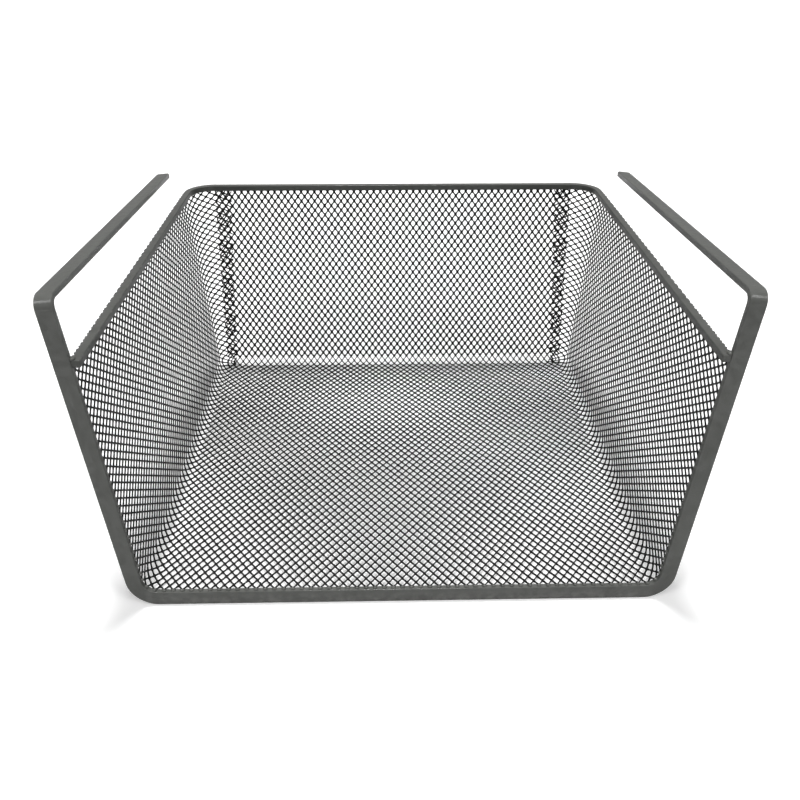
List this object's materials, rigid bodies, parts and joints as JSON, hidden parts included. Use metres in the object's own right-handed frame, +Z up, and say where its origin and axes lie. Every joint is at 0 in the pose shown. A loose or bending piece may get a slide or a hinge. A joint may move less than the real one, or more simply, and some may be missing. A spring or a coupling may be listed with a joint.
{
  "type": "under-shelf basket",
  "caption": "Open-fronted mesh tray with a flat-bar frame whose arms slide over a shelf board, so the tray hangs below it for storage.",
  "frame": {"origin": "under the middle of the basket, level with the underside of the bottom bar", "axes": "+X to the right seen from the open front, +Y from the front to the back, +Z up"},
  "size_m": [0.311, 0.2758, 0.1719],
  "materials": {
    "frame_paint": "satin grey paint",
    "mesh_paint": "satin dark grey paint"
  },
  "bodies": {
    "root": {"hanger_frame": "frame_paint", "rim_bar": "frame_paint", "left_rim_weld": "frame_paint", "right_rim_weld": "frame_paint", "floor_mesh": "mesh_paint", "left_side_mesh": "mesh_paint", "right_side_mesh": "mesh_paint", "back_mesh": "mesh_paint", "left_floor_fold": "mesh_paint", "right_floor_fold": "mesh_paint", "back_fold": "mesh_paint", "left_corner_flap": "mesh_paint", "right_corner_flap": "mesh_paint"}
  },
  "joints": []
}
